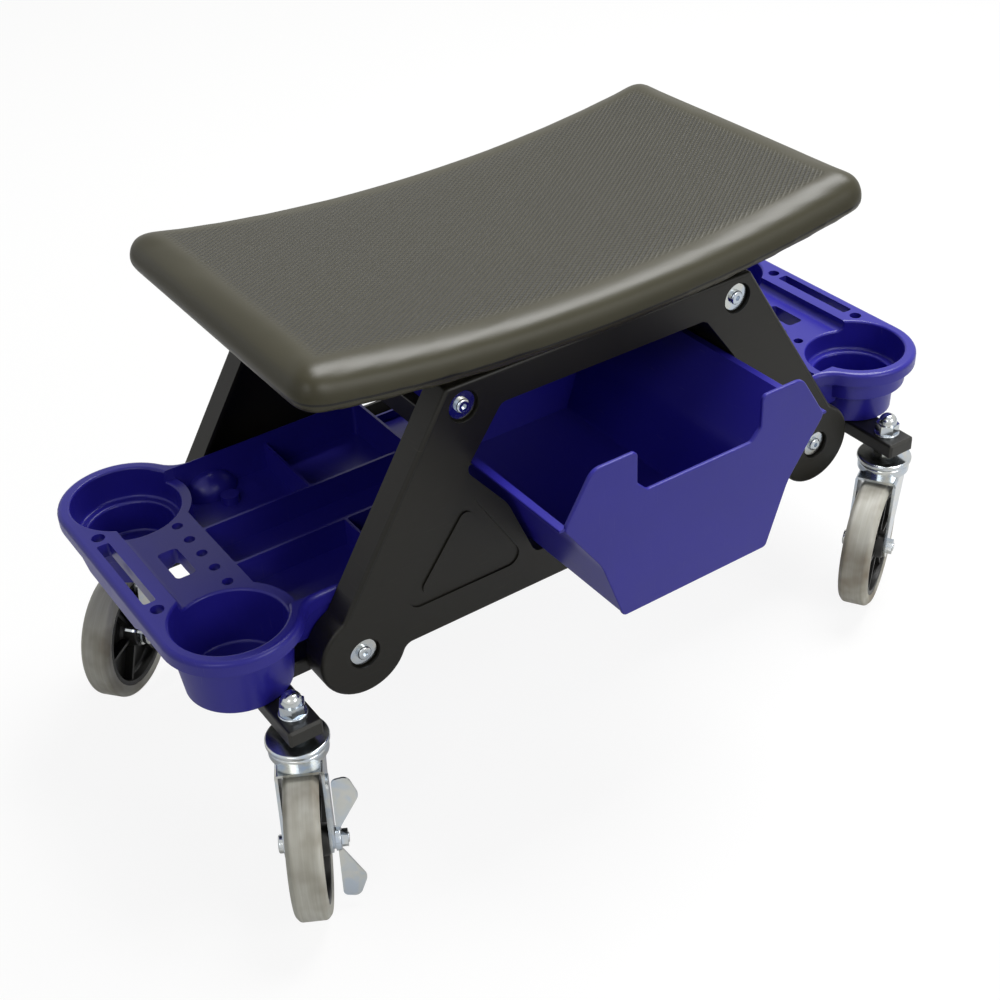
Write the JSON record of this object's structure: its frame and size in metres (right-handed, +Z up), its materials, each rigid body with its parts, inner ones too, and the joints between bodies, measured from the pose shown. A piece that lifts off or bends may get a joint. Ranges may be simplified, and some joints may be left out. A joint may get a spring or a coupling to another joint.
{
  "type": "creeper seat",
  "caption": "Rolling mechanic's stool with a saddle seat, a tool tray with cups at both ends, a through drawer and swivel casters, some braked.",
  "frame": {"origin": "on the floor under the middle of the seat", "axes": "+X along the seat's length, +Z up; the drawer stands open towards -Y"},
  "size_m": [0.8107, 0.4574, 0.4451],
  "materials": {
    "black_enamel": "semi-gloss black powder coat on steel tube",
    "plug_plastic": "matt black moulding",
    "panel_plastic": "fine-grained charcoal moulding",
    "seat_vinyl": "grey-brown vinyl with a fine diamond grain",
    "seat_board": "plywood, hidden under the cushion",
    "violet_plastic": "satin violet-blue moulding",
    "zinc_plate": "bright zinc plate",
    "tyre_rubber": "light grey non-marking rubber",
    "hub_plastic": "black moulding"
  },
  "bodies": {
    "frame": {"caster_arm_fl": "black_enamel", "caster_arm_fr": "black_enamel", "caster_arm_rl": "black_enamel", "caster_arm_rr": "black_enamel", "beam_end_plugs": "plug_plastic", "frame_rail_front": "black_enamel", "frame_rail_rear": "black_enamel", "spreader_lower_left": "black_enamel", "spreader_lower_right": "black_enamel", "spreader_upper_left": "black_enamel", "spreader_upper_right": "black_enamel", "side_panel_front": "panel_plastic", "side_panel_rear": "panel_plastic", "panel_screws": "zinc_plate", "panel_washers": "zinc_plate", "seat_pad": "seat_vinyl", "seat_base": "seat_board", "seat_screws": "zinc_plate", "tool_tray": "violet_plastic", "tray_screws": "zinc_plate", "runner_left": "black_enamel", "runner_right": "black_enamel", "stem_cap_nuts": "zinc_plate", "stem_fl": "zinc_plate", "stem_fr": "zinc_plate", "stem_rl": "zinc_plate", "stem_rr": "zinc_plate"},
    "drawer": {"drawer": "violet_plastic"},
    "swivel_fl": {"fork_fl": "zinc_plate", "axle_fl": "zinc_plate", "axle_bush_fl": "zinc_plate", "axle_nut_fl": "zinc_plate", "brake_strap_fl": "zinc_plate"},
    "wheel_fl": {"tyre_fl": "tyre_rubber", "hub_fl": "hub_plastic"},
    "brake_fl": {"brake_lever_fl": "zinc_plate"},
    "swivel_fr": {"fork_fr": "zinc_plate", "axle_fr": "zinc_plate", "axle_bush_fr": "zinc_plate", "axle_nut_fr": "zinc_plate"},
    "wheel_fr": {"tyre_fr": "tyre_rubber", "hub_fr": "hub_plastic"},
    "swivel_rl": {"fork_rl": "zinc_plate", "axle_rl": "zinc_plate", "axle_bush_rl": "zinc_plate", "axle_nut_rl": "zinc_plate", "brake_strap_rl": "zinc_plate"},
    "wheel_rl": {"tyre_rl": "tyre_rubber", "hub_rl": "hub_plastic"},
    "brake_rl": {"brake_lever_rl": "zinc_plate"},
    "swivel_rr": {"fork_rr": "zinc_plate", "axle_rr": "zinc_plate", "axle_bush_rr": "zinc_plate", "axle_nut_rr": "zinc_plate"},
    "wheel_rr": {"tyre_rr": "tyre_rubber", "hub_rr": "hub_plastic"}
  },
  "joints": [
    {"name": "drawer_slide", "type": "slide", "parent": "frame", "child": "drawer", "axis": [0, -1, 0], "range_m": [-0.265, 0.015]},
    {"name": "swivel_fl", "type": "hinge", "parent": "frame", "child": "swivel_fl", "pos_m": [-0.324, -0.165, 0.13], "axis": [0, 0, 1], "continuous": true},
    {"name": "wheel_fl", "type": "hinge", "parent": "swivel_fl", "child": "wheel_fl", "pos_m": [-0.34133, -0.19678, 0.0625], "axis": [0.878, -0.4787, 0], "continuous": true},
    {"name": "brake_fl", "type": "hinge", "parent": "swivel_fl", "child": "brake_fl", "pos_m": [-0.34133, -0.19678, 0.0625], "axis": [0.878, -0.4787, 0], "range_deg": [0, 62]},
    {"name": "swivel_fr", "type": "hinge", "parent": "frame", "child": "swivel_fr", "pos_m": [0.324, -0.165, 0.13], "axis": [0, 0, 1], "continuous": true},
    {"name": "wheel_fr", "type": "hinge", "parent": "swivel_fr", "child": "wheel_fr", "pos_m": [0.29304, -0.18375, 0.0625], "axis": [0.518, -0.8554, 0], "continuous": true},
    {"name": "swivel_rl", "type": "hinge", "parent": "frame", "child": "swivel_rl", "pos_m": [-0.324, 0.165, 0.13], "axis": [0, 0, 1], "continuous": true},
    {"name": "wheel_rl", "type": "hinge", "parent": "swivel_rl", "child": "wheel_rl", "pos_m": [-0.35181, 0.14183, 0.0625], "axis": [0.6401, -0.7683, 0], "continuous": true},
    {"name": "brake_rl", "type": "hinge", "parent": "swivel_rl", "child": "brake_rl", "pos_m": [-0.35181, 0.14183, 0.0625], "axis": [0.6401, -0.7683, 0], "range_deg": [-62, 0]},
    {"name": "swivel_rr", "type": "hinge", "parent": "frame", "child": "swivel_rr", "pos_m": [0.324, 0.165, 0.13], "axis": [0, 0, 1], "continuous": true},
    {"name": "wheel_rr", "type": "hinge", "parent": "swivel_rr", "child": "wheel_rr", "pos_m": [0.3509, 0.14078, 0.0625], "axis": [0.6691, 0.7431, 0], "continuous": true}
  ]
}
